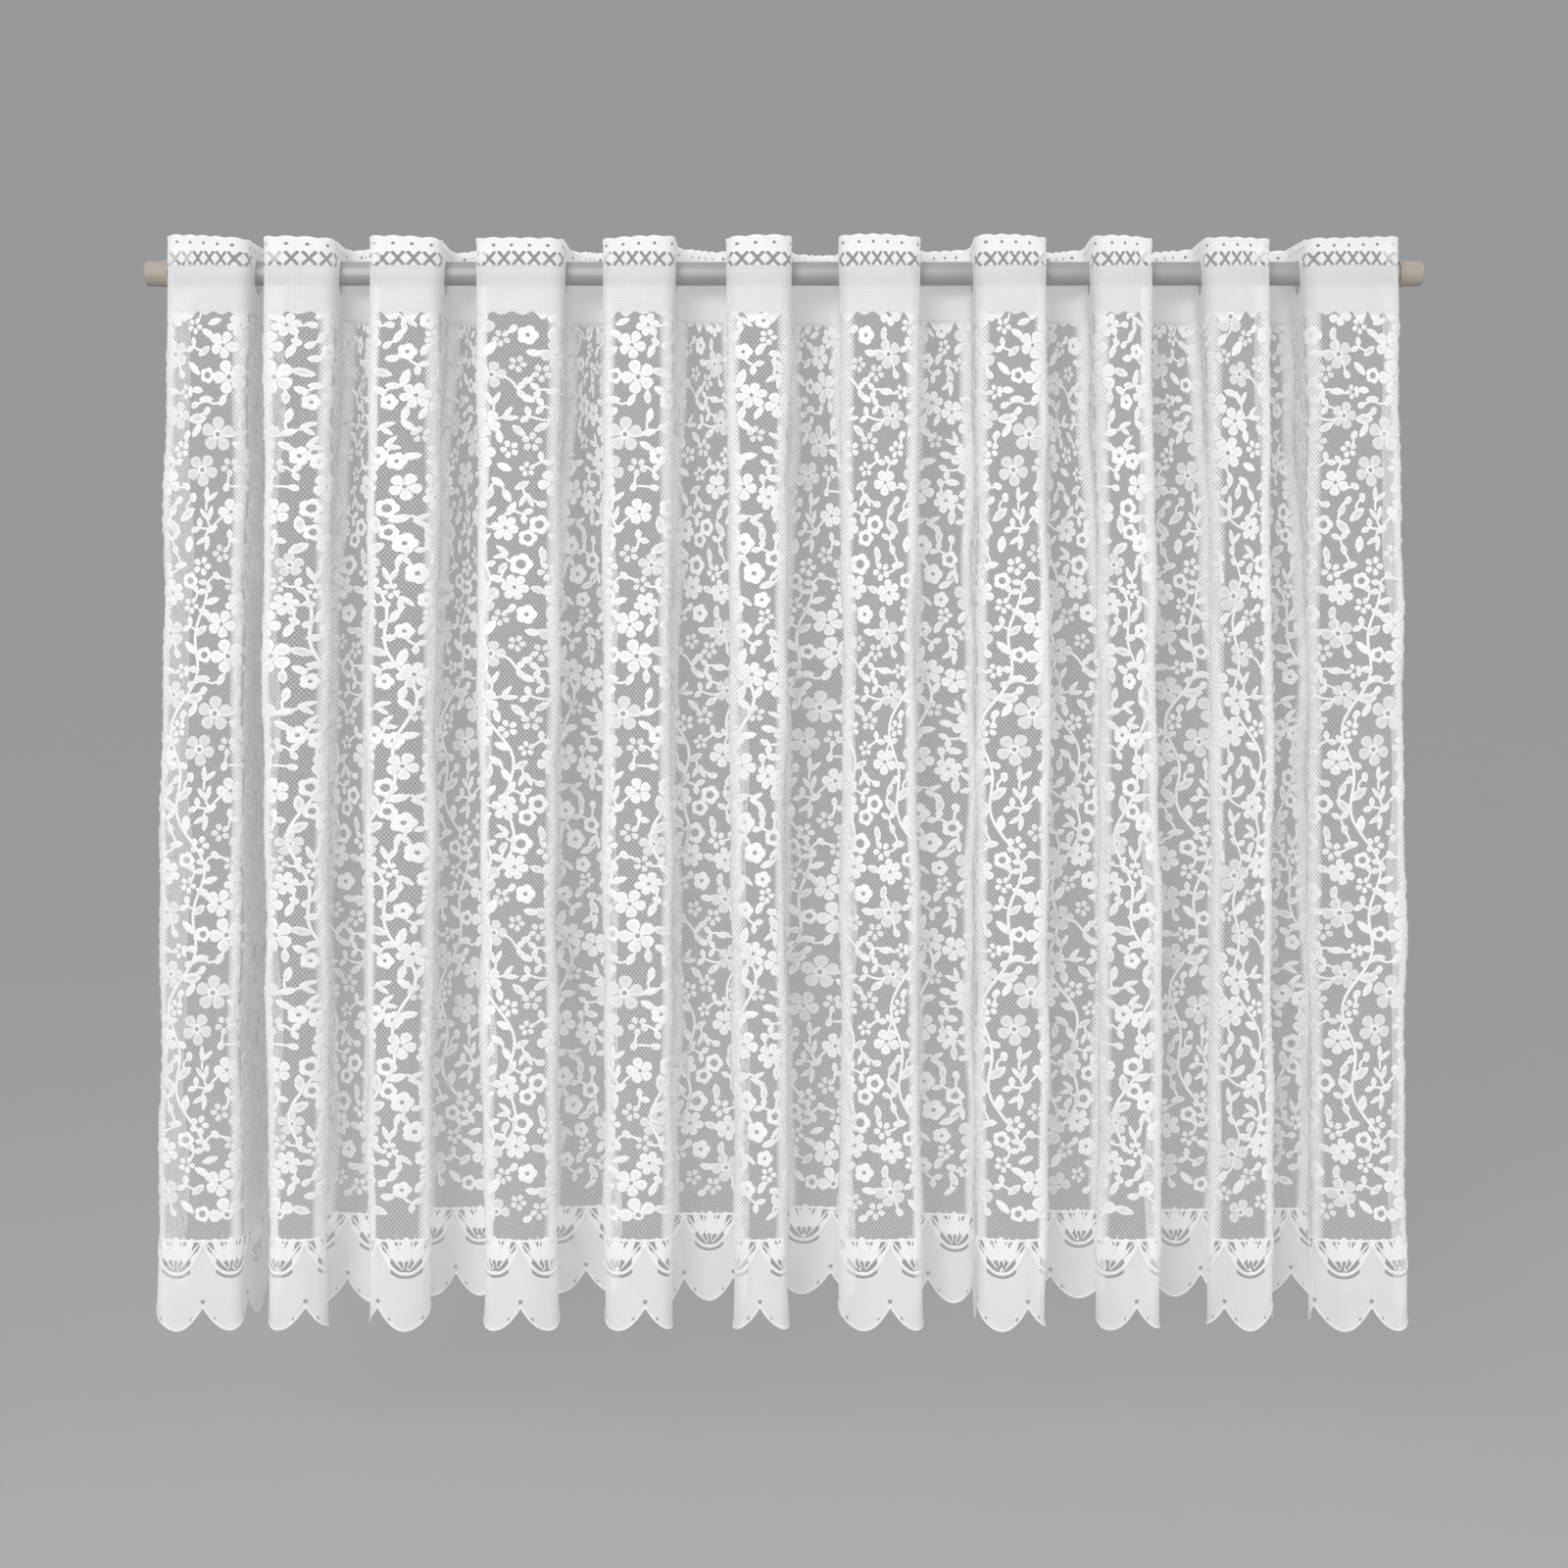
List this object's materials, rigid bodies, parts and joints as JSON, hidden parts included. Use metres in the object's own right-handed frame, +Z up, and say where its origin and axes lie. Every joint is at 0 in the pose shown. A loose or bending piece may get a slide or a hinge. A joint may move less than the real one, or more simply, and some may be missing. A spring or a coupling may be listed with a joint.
{
  "type": "lace cafe curtain and its curtain rod",
  "caption": "White flower-lace cafe curtain with a scalloped hem, hung in uneven folds on a plain round rod that is woven through slots in its heading.",
  "frame": {"origin": "centre of the left end cap's flat outer face, on the rod's axis", "axes": "+X along the rod to the right as seen from the front, +Y to the window behind, +Z up"},
  "size_m": [1.074, 0.0857, 0.9026],
  "materials": {
    "lace": "white knitted lace, semi-sheer",
    "tube": "satin silver grey",
    "cap": "matt beige"
  },
  "bodies": {
    "root": {"lace_panel": "lace", "rod_tube": "tube", "end_cap_left": "cap", "end_cap_right": "cap"}
  },
  "joints": []
}
